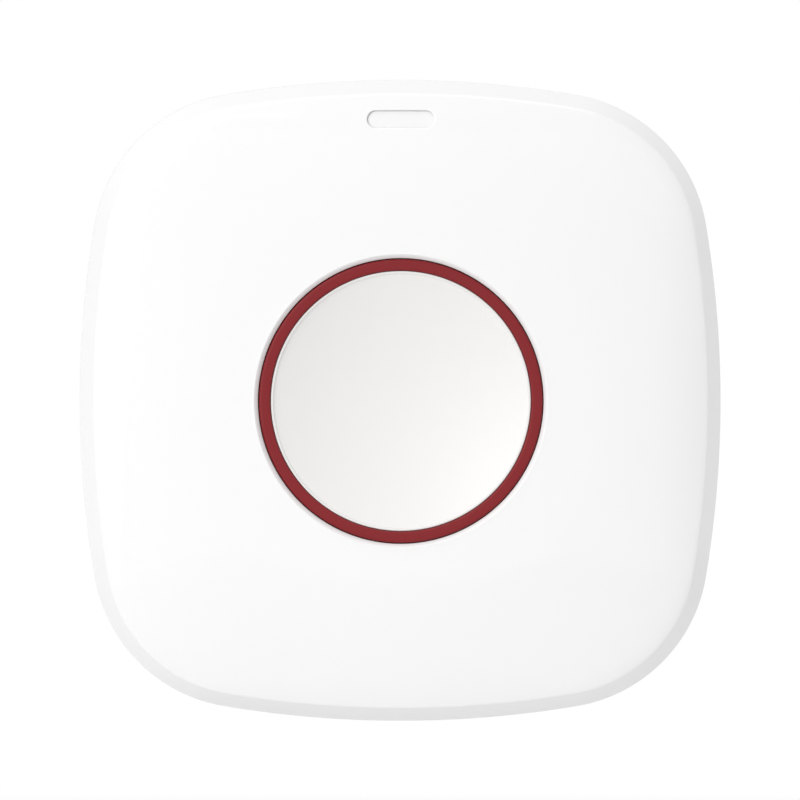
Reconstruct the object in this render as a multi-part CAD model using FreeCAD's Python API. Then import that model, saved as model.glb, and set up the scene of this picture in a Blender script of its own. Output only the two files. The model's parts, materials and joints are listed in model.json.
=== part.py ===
"""A wireless panic button: a pillow-faced white case, 62 mm square, with a red-ringed dished push button.

Every piece is built lying on its back, with X to the right, Y towards the top edge and Z out through the
face. At the end each piece is turned up to hang on its wall: Z up, the face looking along -Y, and the wall at
Y = 0. All sizes are in millimetres.
"""

import FreeCAD
import Part
import math
import os

Vector = FreeCAD.Vector

# Case outline, seen from the front: four bulging sides joined by tighter corners
case_width = 62.0
side_bulge_radius = 102.8
corner_radius = 15.3

# Case profile, seen from the side
side_draft = 0.25
band_width = 1.3
band_height = 2.3
band_edge_radius = 0.3
dome_rise = 2.2
dome_fullness = 2.1
dome_steps = 5
dome_centre_inset = 1.9
dome_centre_bulge = 2.0
dome_centre_rounding = 0.1
dome_edge_strip = 0.5
side_wall = 1.8
face_wall = 2.0
inner_band_height = 0.5
ceiling_inset = 14.0
ceiling_depth = 2.35

# Rear cover
rear_floor_thickness = 2.0
rear_flange_height = 2.6
rear_flange_inset = 0.5
rear_flange_chamfer = 0.5
ledge_height = 3.0
ledge_inset = 1.2
tongue_height = 3.4
tongue_thickness = 1.2
tongue_clearance = 0.1
wall_hole_spacing = 40.0
wall_hole_diameter = 4.2
wall_screw_head_diameter = 7.6
wall_screw_head_depth = 1.0
wall_pad_margin = 1.2
wall_pad_height = 0.6
tape_recess_length = 34.0
tape_recess_width = 9.0
tape_recess_depth = 0.5
tape_recess_corner = 1.5
tape_recess_offset = 14.5

# Hooks along the top edge, which the front cover hangs on
hook_spacing = 16.0
hook_width = 4.0
hook_reach = 0.55
hook_height = 1.2
hook_clearance = 0.15
hook_drop = 0.2

# Screw in the bottom edge, which locks the two covers together
cover_screw_head_diameter = 3.8
cover_screw_head_height = 1.0
cover_screw_shank_diameter = 1.6
cover_screw_length = 6.2
cover_screw_height = 5.6
screw_boss_width = 6.0
screw_boss_length = 6.4
screw_boss_height = 8.0
pilot_depth = 5.4
pilot_clearance = 0.05
shank_clearance = 0.3
head_clearance = 0.15

# Number of sides that stand in for a round wire's section, so that its bends stay light
wire_sides = 6

# Cross recess and point of every screw, as shares of its head and shank
recess_length_share = 1.3
recess_width_share = 0.36
recess_depth_share = 0.65
recess_taper_share = 0.55
head_crown_share = 0.62
head_edge_share = 0.5
point_share = 1.4

# Coin cell and its holder, on the back of the circuit board
cell_diameter = 24.5
cell_thickness = 5.0
cell_edge = 0.4
cell_crimp = 0.8
cell_cap_step = 0.25
cell_cap_inset = 1.7
cell_cap_lean = 0.15
cell_clearance = 0.2
strap_gap = 0.4
strap_width = 6.0
strap_clearance = 0.05
contact_thickness = 0.3
contact_arch = 0.7
finger_width = 3.2
finger_length = 9.0
finger_spacing = 5.6
finger_strip_width = 3.0
finger_knee_share = 0.35
finger_touch_share = 0.6
finger_tip_share = 0.85
finger_sag_share = 0.6
holder_floor_thickness = 0.6
holder_wall = 1.15
holder_wall_height = 4.6
holder_gap_angle = 104.0
holder_window_diameter = 8.0
holder_strap_groove = 0.65
solder_tab = 1.6
solder_tab_narrowing = 1.0

# Circuit board
board_thickness = 1.2
board_clearance = 0.4
post_from_edge = 11.5
post_diameter = 4.4
board_screw_diameter = 1.6
board_screw_length = 5.0
board_screw_head_diameter = 3.6
board_screw_head_height = 1.2
board_hole_clearance = 0.3
post_bore_margin = 0.5
rib_thickness = 1.0
rib_clearance = 0.3

# Push switch in the middle of the board
switch_width = 6.2
switch_corner = 0.4
switch_base_height = 2.3
switch_cover_thickness = 0.3
switch_floor = 0.6
switch_cheek_width = 2.6
switch_cheek_height = 1.6
plunger_diameter = 3.4
plunger_flange_diameter = 4.6
plunger_flange_thickness = 0.5
plunger_stand_out = 1.2
plunger_clearance = 0.1
dome_wall = 0.35
dome_foot_width = 0.6
terminal_width = 0.8
terminal_reach = 1.1
terminal_thickness = 0.25
terminal_spacing = 4.5

# Button
button_travel = 0.7
button_diameter = 27.5
button_clearance = 0.15
ring_width = 1.15
ring_lip = 0.35
ring_recess = 0.3
ring_edge_break = 0.1
hole_edge_break = 0.2
cap_gap = 0.05
cap_edge_thickness = 2.1
cap_edge_break = 0.1
dish_depth = 1.1
carrier_floor = 1.2
carrier_rib_count = 6
carrier_rib_height = 1.0
carrier_rib_thickness = 0.8
boss_length = 0.8
boss_diameter = 4.4
touch_gap = 0.05
stop_gap = 0.05
skirt_board_clearance = 0.4
stop_tab_width = 5.0
stop_tab_height = 1.0
stop_tab_reach = 1.1
stop_tab_count = 3
tab_side_clearance = 0.2
notch_depth = 0.85
collar_wall = 1.3
peg_count = 3
peg_angle = 30.0
peg_diameter = 1.6
peg_circle = 18.0
peg_head_diameter = 2.8
peg_head_height = 0.6
peg_clearance = 0.05

# Return spring and its seat
spring_wire = 0.5
spring_diameter = 11.4
spring_half_turns = 7
spring_end_gap = 0.03
spring_side_gap = 0.5
seat_thickness = 0.6
seat_collar_height = 0.9
seat_collar_wall = 0.7
seat_rim = 0.5
seat_clearance = 0.1
seat_passage_height = 0.4
seat_passage_margin = 0.3

# Indicator slot and its light guide
slot_length = 6.4
slot_height = 1.65
slot_from_edge = 3.75
slot_recess = 0.4
slot_pad_margin = 0.5
guide_clearance = 0.05
guide_seat_depth = 1.0
guide_flange_margin = 0.7
guide_flange_thickness = 0.8
guide_foot_gap = 0.2
led_length = 2.0
led_width = 1.25
led_height = 0.8
led_base_height = 0.3
led_lens_length = 1.25

# Radio, controller and antenna, on the front of the board
shield_length = 13.0
shield_width = 9.0
shield_height = 1.8
shield_wall = 0.2
shield_corner = 0.5
vent_diameter = 1.0
vent_pitch_across = 2.2
vent_pitch_along = 4.8
chip_width = 5.0
chip_height = 0.9
chip_offset = 3.0
chip_dimple_diameter = 0.6
chip_dimple_depth = 0.1
chip_dimple_inset = 0.8
chip_antenna_gap = 1.6
crystal_width = 2.5
crystal_base_height = 0.4
crystal_height = 0.8
crystal_lid_inset = 0.15
crystal_gap = 0.8
passive_length = 1.6
passive_width = 0.8
passive_height = 0.6
passive_pitch = 2.2
passive_count = 6
passive_gap = 1.6
antenna_wire = 0.8
antenna_length = 24.0
antenna_height = 2.6
antenna_bend_radius = 1.2
antenna_from_edge = 4.0

# Case-open switch, on the back of the board
tamper_body_length = 6.0
tamper_body_width = 3.5
tamper_body_height = 3.0
tamper_well_depth = 1.6
tamper_plunger_diameter = 1.6
tamper_plunger_reach = 1.4
tamper_plunger_seat = 1.5
tamper_from_edge = 9.95
tamper_offset = 10.0
tamper_post_diameter = 3.4

# How far each cutting tool runs past the surface that it opens
overcut = 1.0

# Levels above the wall, worked out from the stack of pieces
rear_floor = rear_floor_thickness
strap_back = rear_floor + strap_gap
cell_back = strap_back + contact_thickness
cell_front = cell_back + cell_thickness
holder_floor = cell_front + contact_arch
board_back = holder_floor + holder_floor_thickness
board_front = board_back + board_thickness
switch_top = board_front + switch_base_height
switch_lid = switch_top + switch_cover_thickness
plunger_foot = switch_top - plunger_flange_thickness - plunger_clearance
plunger_top = switch_lid + plunger_stand_out
boss_foot = plunger_top + touch_gap
carrier_under = boss_foot + boss_length
cap_under = carrier_under + carrier_floor
cap_rim = cap_under + cap_edge_thickness
ring_top = cap_rim + ring_lip
face_top = ring_top + ring_recess
dome_foot = face_top - dome_rise
tongue_top = ledge_height + tongue_height
hook_top = tongue_top - hook_drop
hook_foot = hook_top - hook_height
skirt_foot = board_front + button_travel + skirt_board_clearance
tab_top = skirt_foot + stop_tab_height
notch_top = tab_top + stop_gap
collar_foot = notch_top - notch_depth
seat_top = board_front + seat_thickness
tamper_foot = board_back - tamper_body_height
tamper_tip = tamper_foot - tamper_plunger_reach

# Radii, half widths and places, measured from the middle of the case
half_width = case_width / 2
cavity_inset = side_draft + side_wall
inner_half = half_width - cavity_inset
button_radius = button_diameter / 2
hole_radius = button_radius + button_clearance
collar_radius = hole_radius + collar_wall
skirt_inner = button_radius - ring_width
cap_radius = skirt_inner - cap_gap
spring_outer = spring_diameter / 2 + spring_wire / 2
spring_inner = spring_diameter / 2 - spring_wire / 2
cell_radius = cell_diameter / 2
holder_inner = cell_radius + cell_clearance
holder_radius = holder_inner + holder_wall
strap_outer = holder_radius + strap_clearance
board_inset = cavity_inset + board_clearance
board_half = half_width - board_inset
tongue_inset = cavity_inset + tongue_clearance
post_place = half_width - post_from_edge
slot_centre = half_width - slot_from_edge
rim_inset = side_draft + band_width
dome_inset = rim_inset + dome_edge_strip
dome_centre_half = hole_radius - dome_centre_inset
cover_screw_seat = -half_width + cover_screw_head_height + head_clearance
antenna_x = board_half - antenna_from_edge
chip_x = antenna_x - antenna_wire / 2 - chip_antenna_gap - chip_width / 2
shield_x = -(collar_radius + board_half) / 2
tamper_x = tamper_from_edge - half_width
tamper_y = -tamper_offset

# Levels of the rim, where the face's slope at its edge is carried on down to the band
dome_slope = dome_rise * dome_fullness / (half_width - dome_inset - dome_centre_half)
rim_level = dome_foot - dome_edge_strip * dome_slope
band_foot = rim_level - band_height
inner_dome_foot = dome_foot - face_wall
guide_seat = inner_dome_foot - guide_seat_depth


def outline_arcs(half, side_radius, round_radius):
    """Centre, radius, first and last angle of a squircle's eight arcs, each tangent to the next."""
    side_centre = half - side_radius
    reach = side_radius - round_radius
    corner_centre = (side_centre + math.sqrt(2 * reach**2 - side_centre**2)) / 2
    lean = math.degrees(math.atan2(corner_centre, corner_centre - side_centre))
    arcs = []
    for start in (0, 90, 180, 270):
        turn = FreeCAD.Rotation(Vector(0, 0, 1), start)
        side = turn.multVec(Vector(side_centre, 0, 0))
        corner = turn.multVec(Vector(corner_centre, corner_centre, 0))
        arcs.append((side, side_radius, start - lean, start + lean))
        arcs.append((corner, round_radius, start + lean, start + 90 - lean))
    return arcs


def squircle(half, side_radius, round_radius, z):
    """The closed outline of those arcs at height z."""
    edges = []
    for centre, radius, first, last in outline_arcs(half, side_radius, round_radius):
        edges.append(Part.makeCircle(radius, centre + Vector(0, 0, z), Vector(0, 0, 1), first, last))
    return Part.Wire(edges)


def case_section(inset, z):
    """The case outline moved in by inset, at height z."""
    return squircle(half_width - inset, side_bulge_radius - inset, corner_radius - inset, z)


def dome_section(share, z):
    """A section of the pillow face: the case outline at share 0, which turns into a circle at share 1."""
    edge_half = half_width - dome_inset
    half = edge_half + share * (dome_centre_half - edge_half)
    edge_curve = 1 / (side_bulge_radius - dome_inset)
    centre_curve = 1 / (dome_centre_half + dome_centre_bulge)
    side_radius = 1 / (edge_curve + share * (centre_curve - edge_curve))
    edge_round = corner_radius - dome_inset
    centre_round = dome_centre_half - dome_centre_rounding
    round_radius = edge_round + share * (centre_round - edge_round)
    return squircle(half, side_radius, round_radius, z)


def slab(inset, low, high):
    """A plate of the case outline, from low to high."""
    face = Part.Face(case_section(inset, low))
    return face.extrude(Vector(0, 0, high - low))


def frustum(low_inset, low, high_inset, high):
    """A plate whose edge leans from one inset to another."""
    return Part.makeLoft([case_section(low_inset, low), case_section(high_inset, high)], True, True)


def pillow(drop):
    """The domed cap of the case, from the edge of its face up, moved down by drop."""
    sections = []
    for step in range(dome_steps + 1):
        share = step / dome_steps
        height = dome_foot + dome_rise * (1 - (1 - share) ** dome_fullness)
        sections.append(dome_section(share, height - drop))
    return Part.makeLoft(sections, True, False)


def cylinder(radius, low, high, x=0, y=0):
    """An upright round bar."""
    return Part.makeCylinder(radius, high - low, Vector(x, y, low))


def tube(outer, inner, low, high):
    """An upright tube about the button's axis."""
    return cylinder(outer, low, high).cut(cylinder(inner, low, high))


def block(length, width, low, high, x=0, y=0):
    """An upright box centred on x, y."""
    return Part.makeBox(length, width, high - low, Vector(x - length / 2, y - width / 2, low))


def rounded_block(length, width, radius, low, high, x=0, y=0):
    """A box with round upright edges."""
    upright = block(length, width, low, high, x, y)
    edges = [e for e in upright.Edges if e.BoundBox.ZLength > (high - low) / 2]
    return upright.makeFillet(radius, edges)


def slot_bar(length, height, low, high):
    """A round-ended bar that fits the indicator slot's form."""
    offset = (length - height) / 2
    ends = [cylinder(height / 2, low, high, x, slot_centre) for x in (-offset, offset)]
    middle = block(length - height, height, low, high, 0, slot_centre)
    return middle.fuse(ends).removeSplitter()


def tapered_block(low_length, low_width, low, high_length, high_width, high):
    """A box about the Z axis whose section changes evenly from one size to another."""
    x, y = low_length / 2, low_width / 2
    far_x, far_y = high_length / 2, high_width / 2
    wedge = Part.makeWedge(-x, 0, -y, -far_y, -far_x, x, high - low, y, far_y, far_x)
    wedge.rotate(Vector(0, 0, 0), Vector(1, 0, 0), 90)
    wedge.translate(Vector(0, 0, low))
    return wedge


def wire_section(diameter):
    """The section of a wire that runs along the Z axis."""
    corners = []
    for side in range(wire_sides + 1):
        angle = math.radians(360 * side / wire_sides)
        corners.append(Vector(math.cos(angle), math.sin(angle), 0) * (diameter / 2))
    return Part.makePolygon(corners)


def revolved(points):
    """A solid turned about the Z axis from a closed profile of (radius, height) corners."""
    outline = [Vector(radius, 0, height) for radius, height in points]
    face = Part.Face(Part.makePolygon(outline + outline[:1]))
    return face.revolve(Vector(0, 0, 0), Vector(0, 0, 1), 360)


def turned(shape, angle):
    """A copy of shape, turned about the button's axis."""
    copy = shape.copy()
    copy.rotate(Vector(0, 0, 0), Vector(0, 0, 1), angle)
    return copy


def around(shape, count, start=0.0):
    """Copies of shape, evenly spaced about the button's axis."""
    return [turned(shape, start + 360 * step / count) for step in range(count)]


def middle_of(edge):
    """The point half way along an edge."""
    return edge.valueAt((edge.FirstParameter + edge.LastParameter) / 2)


def ring_edges(shape, radius, low, high):
    """The edges that run about the button's axis at that radius, between two heights."""
    found = []
    for edge in shape.Edges:
        middle = middle_of(edge)
        box = edge.BoundBox
        at_radius = abs(math.hypot(middle.x, middle.y) - radius) < 0.02
        if at_radius and box.ZMin > low and box.ZMax < high and edge.Length > radius / 10:
            found.append(edge)
    return found


def post_places():
    """The middles of the four screw posts."""
    return [(sx * post_place, sy * post_place) for sx in (-1, 1) for sy in (-1, 1)]


def rounded_corner(before, corner, after, radius):
    """The arc that rounds a corner between two straight lines, as (start, middle, end)."""
    back = (before - corner).normalize()
    on = (after - corner).normalize()
    half_angle = back.getAngle(on) / 2
    bisector = (back + on).normalize()
    centre = corner + bisector * (radius / math.sin(half_angle))
    reach = radius / math.tan(half_angle)
    return corner + back * reach, centre - bisector * radius, corner + on * reach


def rim_profile(radius):
    """The section of the case's edge, with its leaning side, its band and its face edge, at a radius."""
    inner_foot = Vector(radius - dome_inset, 0, ledge_height)
    outer_foot = Vector(radius, 0, ledge_height)
    shoulder = Vector(radius - side_draft, 0, band_foot)
    rim = Vector(radius - rim_inset, 0, rim_level)
    edge = Vector(radius - dome_inset, 0, dome_foot)
    low = rounded_corner(outer_foot, shoulder, rim, band_edge_radius)
    high = rounded_corner(shoulder, rim, edge, band_edge_radius)
    lines = [
        Part.LineSegment(inner_foot, outer_foot),
        Part.LineSegment(outer_foot, low[0]),
        Part.Arc(*low),
        Part.LineSegment(low[2], high[0]),
        Part.Arc(*high),
        Part.LineSegment(high[2], edge),
        Part.LineSegment(edge, inner_foot),
    ]
    return Part.Face(Part.Wire([line.toShape() for line in lines]))


def case_edge():
    """The edge of the case all round, its section turned about the centre of each arc of the outline."""
    strips = []
    for centre, radius, first, last in outline_arcs(half_width, side_bulge_radius, corner_radius):
        strip = rim_profile(radius).revolve(Vector(0, 0, 0), Vector(0, 0, 1), last - first)
        strip.rotate(Vector(0, 0, 0), Vector(0, 0, 1), first)
        strip.translate(centre)
        strips.append(strip)
    return strips


def case_body():
    """The outside form of the front cover, solid: its edge, the block inside that, and the pillow face."""
    middle = slab(dome_inset, ledge_height, dome_foot)
    return middle.fuse(case_edge() + [pillow(0)]).removeSplitter()


def case_cavity():
    """The room inside the front cover, which keeps its walls even under the band and the pillow."""
    inner_band_foot = inner_dome_foot - inner_band_height
    sides = slab(cavity_inset, ledge_height, inner_band_foot)
    band = frustum(cavity_inset, inner_band_foot, dome_inset + side_wall, inner_dome_foot)
    ceiling = frustum(dome_inset + side_wall, inner_dome_foot, ceiling_inset, face_top - ceiling_depth)
    return sides.fuse([band, ceiling]).removeSplitter()


def front_cover_insides():
    """The button's collar, the screw posts with their ribs, and the pad behind the indicator slot."""
    pieces = [tube(collar_radius, hole_radius, collar_foot, face_top)]
    for x, y in post_places():
        pieces.append(cylinder(post_diameter / 2, board_front, face_top, x, y))
    reach = math.hypot(post_place, post_place) - collar_radius
    rib_foot = board_front + antenna_height + rib_clearance
    rib = block(reach, rib_thickness, rib_foot, face_top, collar_radius + reach / 2)
    pieces += around(rib, 4, 45)
    margin = 2 * (guide_flange_margin + slot_pad_margin)
    pieces.append(block(slot_length + margin, slot_height + margin, guide_seat, face_top, 0, slot_centre))
    return pieces


def front_cover_cuts():
    """Everything that is cut from the front cover, from the button's hole to the pockets for the hooks."""
    button_hole = [
        (0, collar_foot),
        (hole_radius, collar_foot),
        (hole_radius, face_top - hole_edge_break),
        (hole_radius + hole_edge_break + overcut, face_top + overcut),
        (0, face_top + overcut),
    ]
    cuts = [revolved(button_hole)]
    notch_width = stop_tab_width + 2 * tab_side_clearance
    notch_length = 2 * collar_wall + overcut
    notch = block(notch_length, notch_width, collar_foot, notch_top, collar_radius)
    cuts += around(notch, stop_tab_count, 90)
    pilot = board_screw_diameter / 2 + pilot_clearance
    bore_top = board_front + board_screw_length - board_thickness + post_bore_margin
    for x, y in post_places():
        cuts.append(cylinder(pilot, board_front, bore_top, x, y))
    cuts.append(slot_bar(slot_length, slot_height, guide_seat, face_top))
    pocket_width = hook_width + 2 * hook_clearance
    pocket_depth = hook_reach + hook_clearance
    pocket_low = hook_foot - hook_clearance
    pocket_high = hook_top + hook_clearance
    for x in (-hook_spacing / 2, hook_spacing / 2):
        cuts.append(block(pocket_width, 2 * pocket_depth, pocket_low, pocket_high, x, inner_half))
    return cuts + cover_screw_cuts()


def cover_screw_cuts():
    """The clearance hole and the head's counterbore, through the bottom edge of the front cover."""
    base = Vector(0, -half_width - overcut, cover_screw_height)
    inward = Vector(0, 1, 0)
    head_radius = cover_screw_head_diameter / 2 + head_clearance
    shank_radius = cover_screw_shank_diameter / 2 + shank_clearance
    head = Part.makeCylinder(head_radius, cover_screw_seat - base.y, base, inward)
    shank = Part.makeCylinder(shank_radius, overcut - inner_half - base.y, base, inward)
    return [head, shank]


def front_cover():
    """The domed front shell, with everything that it carries inside."""
    outside = case_body()
    shell = outside.cut(case_cavity())
    shell = shell.fuse([piece.common(outside) for piece in front_cover_insides()])
    return shell.cut(front_cover_cuts()).removeSplitter()


def rear_plate():
    """The stepped plate: a chamfered flange on the wall, a narrower ledge, and a standing tongue."""
    foot = frustum(rear_flange_inset + rear_flange_chamfer, 0, rear_flange_inset, rear_flange_chamfer)
    flange = slab(rear_flange_inset, rear_flange_chamfer, rear_flange_height)
    ledge = slab(ledge_inset, rear_flange_height, ledge_height)
    tongue = slab(tongue_inset, ledge_height, tongue_top)
    well = slab(tongue_inset + tongue_thickness, rear_floor, tongue_top)
    return foot.fuse([flange, ledge, tongue]).removeSplitter().cut(well)


def rear_cover():
    """The cover that stays on the wall, with its hooks, screw boss, screw pads and case-open post."""
    hook_length = tongue_thickness + tongue_clearance + hook_reach
    hook_y = inner_half + hook_reach - hook_length / 2
    adds = []
    for x in (-hook_spacing / 2, hook_spacing / 2):
        adds.append(block(hook_width, hook_length, hook_foot, hook_top, x, hook_y))
    boss_edge = tongue_inset - half_width
    boss_y = boss_edge + screw_boss_length / 2
    adds.append(block(screw_boss_width, screw_boss_length, rear_floor, screw_boss_height, 0, boss_y))
    adds.append(cylinder(tamper_post_diameter / 2, rear_floor, tamper_tip, tamper_x, tamper_y))
    pad_radius = wall_screw_head_diameter / 2 + wall_pad_margin
    pad_top = rear_floor + wall_pad_height
    head_seat = pad_top - wall_screw_head_depth
    cuts = []
    for x in (-wall_hole_spacing / 2, wall_hole_spacing / 2):
        adds.append(cylinder(pad_radius, rear_floor, pad_top, x))
        cuts.append(cylinder(wall_hole_diameter / 2, -overcut, pad_top, x))
        cuts.append(cylinder(wall_screw_head_diameter / 2, head_seat, pad_top, x))
    for y in (-tape_recess_offset, tape_recess_offset):
        size = (tape_recess_length, tape_recess_width, tape_recess_corner)
        cuts.append(rounded_block(*size, -overcut, tape_recess_depth, 0, y))
    pilot_radius = cover_screw_shank_diameter / 2 + pilot_clearance
    mouth = Vector(0, boss_edge, cover_screw_height)
    cuts.append(Part.makeCylinder(pilot_radius, pilot_depth, mouth, Vector(0, 1, 0)))
    return rear_plate().fuse(adds).cut(cuts).removeSplitter()


def cross_recess(radius, top, depth):
    """A tapered cross for a screwdriver, cut down into a screw head that looks along +Z."""
    length = radius * recess_length_share
    width = radius * recess_width_share
    foot_length = length * recess_taper_share
    foot_width = width * recess_taper_share
    arm = tapered_block(foot_length, foot_width, top - depth, length, width, top)
    return arm.fuse(turned(arm, 90))


def screw(head_diameter, head_height, shank_diameter, length):
    """A pan-head screw that points down from the origin, with its head on top."""
    radius = head_diameter / 2
    shank = shank_diameter / 2
    body = revolved(
        [
            (0, head_height),
            (radius * head_crown_share, head_height),
            (radius, head_height * head_edge_share),
            (radius, 0),
            (shank, 0),
            (shank, shank * point_share - length),
            (0, -length),
        ]
    )
    return body.cut(cross_recess(radius, head_height, head_height * recess_depth_share))


def cover_screw():
    """The screw that locks the covers, lying in the bottom edge with its head downwards."""
    piece = screw(
        cover_screw_head_diameter,
        cover_screw_head_height,
        cover_screw_shank_diameter,
        cover_screw_length,
    )
    piece.rotate(Vector(0, 0, 0), Vector(1, 0, 0), 90)
    piece.translate(Vector(0, cover_screw_seat, cover_screw_height))
    return piece


def circuit_board():
    """The board, of the case's own outline, with its four screw holes."""
    hole = board_screw_diameter / 2 + board_hole_clearance
    holes = [cylinder(hole, board_back, board_front, x, y) for x, y in post_places()]
    return slab(board_inset, board_back, board_front).cut(holes)


def board_screws():
    """Four screws, driven from behind through the board into the front cover's posts."""
    pieces = []
    for x, y in post_places():
        piece = screw(
            board_screw_head_diameter,
            board_screw_head_height,
            board_screw_diameter,
            board_screw_length,
        )
        piece.rotate(Vector(0, 0, 0), Vector(1, 0, 0), 180)
        piece.translate(Vector(x, y, board_back))
        pieces.append(piece)
    return Part.makeCompound(pieces)


def coin_cell():
    """A lithium coin cell, its plain can to the rear and its smaller cap to the board."""
    cap_radius_low = cell_radius - cell_cap_inset
    shoulder = cell_front - cell_cap_step
    return revolved(
        [
            (0, cell_back),
            (cell_radius - cell_edge, cell_back),
            (cell_radius, cell_back + cell_edge),
            (cell_radius, shoulder - cell_crimp),
            (cell_radius - cell_crimp, shoulder),
            (cap_radius_low, shoulder),
            (cap_radius_low - cell_cap_lean, cell_front),
            (0, cell_front),
        ]
    )


def cell_holder():
    """The black holder: a floor on the board and a wall round the cell, open where the cell slides out."""
    wall_foot = holder_floor - holder_wall_height
    cup = cylinder(holder_radius, wall_foot, board_back).cut(cylinder(holder_inner, wall_foot, holder_floor))
    half_gap = math.radians(holder_gap_angle / 2)
    far_x = 2 * holder_radius * math.sin(half_gap)
    far_y = -2 * holder_radius * math.cos(half_gap)
    centre = Vector(0, 0, wall_foot)
    left = Vector(-far_x, far_y, wall_foot)
    right = Vector(far_x, far_y, wall_foot)
    gap = Part.Face(Part.makePolygon([centre, left, right, centre]))
    gap = gap.extrude(Vector(0, 0, holder_floor - wall_foot))
    channel = block(4 * holder_radius, strap_width + 2 * cell_clearance, wall_foot, board_back)
    channel = channel.cut(cylinder(holder_radius - holder_strap_groove, wall_foot, board_back))
    window = cylinder(holder_window_diameter / 2, holder_floor, board_back)
    return cup.cut([gap, channel, window])


def contact_plus():
    """The strap across the back of the cell, bent up at both ends to the board."""
    inner = strap_outer - contact_thickness
    tab_foot = board_back - contact_thickness
    tab_width = strap_width - solder_tab_narrowing
    strap = block(2 * strap_outer, strap_width, strap_back, board_back)
    strap = strap.cut(block(2 * inner, strap_width, cell_back, board_back))
    tab = block(2 * (strap_outer + solder_tab), tab_width, tab_foot, board_back)
    tab = tab.cut(block(2 * inner, tab_width, tab_foot, board_back))
    return strap.fuse(tab).removeSplitter()


def contact_minus():
    """Two sprung fingers in front of the cell, on one strip that is seated on the holder's floor."""
    strip_low = holder_floor - contact_thickness
    root = finger_length / 2
    strip_y = root + finger_strip_width / 2
    strip_length = finger_spacing + finger_width
    pieces = [block(strip_length, finger_strip_width, strip_low, holder_floor, 0, strip_y)]
    sag = finger_sag_share * (contact_arch - contact_thickness)
    upper = [
        (root, holder_floor),
        (root - finger_length * finger_knee_share, holder_floor - sag),
        (root - finger_length * finger_touch_share, cell_front + contact_thickness),
        (root - finger_length * finger_tip_share, holder_floor - sag),
    ]
    lower = [(y, z - contact_thickness) for y, z in reversed(upper)]
    for x in (-finger_spacing / 2, finger_spacing / 2):
        outline = [Vector(x - finger_width / 2, y, z) for y, z in upper + lower]
        face = Part.Face(Part.makePolygon(outline + outline[:1]))
        pieces.append(face.extrude(Vector(finger_width, 0, 0)))
    return pieces[0].fuse(pieces[1:]).removeSplitter()


def switch_base():
    """The black moulded base of the push switch, with a round well for the dome and the plunger."""
    base = rounded_block(switch_width, switch_width, switch_corner, board_front, switch_top)
    well = plunger_flange_diameter / 2 + plunger_clearance
    return base.cut(cylinder(well, board_front + switch_floor, switch_top))


def switch_cover():
    """The steel plate on top of the switch, with two cheeks bent down over the base."""
    plate = rounded_block(switch_width, switch_width, switch_corner, switch_top, switch_lid)
    plate = plate.cut(cylinder(plunger_diameter / 2 + plunger_clearance, switch_top, switch_lid))
    cheek_x = switch_width / 2 + switch_cover_thickness / 2
    cheek_low = switch_lid - switch_cheek_height
    cheeks = []
    for x in (-cheek_x, cheek_x):
        cheeks.append(block(switch_cover_thickness, switch_cheek_width, cheek_low, switch_lid, x))
    return plate.fuse(cheeks).removeSplitter()


def rubber_dome():
    """The hollow rubber dome under the plunger, which buckles with a click when it is pressed."""
    low = board_front + switch_floor
    foot = plunger_flange_diameter / 2
    crown = foot / 2
    return revolved(
        [
            (0, plunger_foot),
            (crown, plunger_foot),
            (foot - dome_foot_width / 2, low + dome_wall),
            (foot, low + dome_wall),
            (foot, low),
            (foot - dome_foot_width, low),
            (crown - dome_wall / 2, plunger_foot - dome_wall),
            (0, plunger_foot - dome_wall),
        ]
    )


def switch_terminals():
    """Four legs that carry the switch on the board."""
    leg_x = switch_width / 2 + terminal_reach / 2
    leg_top = board_front + terminal_thickness
    legs = [
        block(terminal_reach, terminal_width, board_front, leg_top, x, y)
        for x in (-leg_x, leg_x)
        for y in (-terminal_spacing / 2, terminal_spacing / 2)
    ]
    return Part.makeCompound(legs)


def switch_plunger():
    """The switch's own plunger, held under the steel plate by its flange."""
    flange = cylinder(plunger_flange_diameter / 2, plunger_foot, plunger_foot + plunger_flange_thickness)
    stem = cylinder(plunger_diameter / 2, plunger_foot, plunger_top)
    return flange.fuse(stem).removeSplitter()


def spring_seat():
    """A plastic washer round the switch, which keeps the return spring off the board and in its place."""
    collar = spring_inner - seat_clearance
    bore = collar - seat_collar_wall
    washer = tube(spring_outer + seat_rim, bore, board_front, seat_top)
    washer = washer.fuse(tube(collar, bore, seat_top, seat_top + seat_collar_height)).removeSplitter()
    passage_length = switch_width + 2 * (terminal_reach + seat_passage_margin)
    passage_width = terminal_spacing + terminal_width + 2 * seat_passage_margin
    return washer.cut(block(passage_length, passage_width, board_front, board_front + seat_passage_height))


def return_spring():
    """The coil spring that lifts the button: half rings, each tilted to climb half a turn's pitch."""
    radius = spring_diameter / 2
    low = seat_top + spring_wire / 2
    high = carrier_under - spring_end_gap - spring_wire / 2
    climb = (high - low) / spring_half_turns
    section = wire_section(spring_wire)
    section.rotate(Vector(0, 0, 0), Vector(1, 0, 0), 90)
    side = 1
    turns = []
    for step in range(spring_half_turns):
        start = Vector(side * radius, 0, low + climb * step)
        end = Vector(-side * radius, 0, low + climb * (step + 1))
        axis = (end - start).cross(Vector(0, side, 0))
        turns.append(Part.Face(section.translated(start)).revolve((start + end) / 2, axis, -180))
        side = -side
    return turns[0].fuse(turns[1:]).removeSplitter()


def carrier_ribs():
    """Ribs under the carrier's floor, from the spring's circle out to the skirt."""
    start = spring_outer + spring_side_gap
    length = skirt_inner - start
    low = carrier_under - carrier_rib_height
    rib = block(length, carrier_rib_thickness, low, carrier_under, start + length / 2)
    return around(rib, carrier_rib_count)


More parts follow.
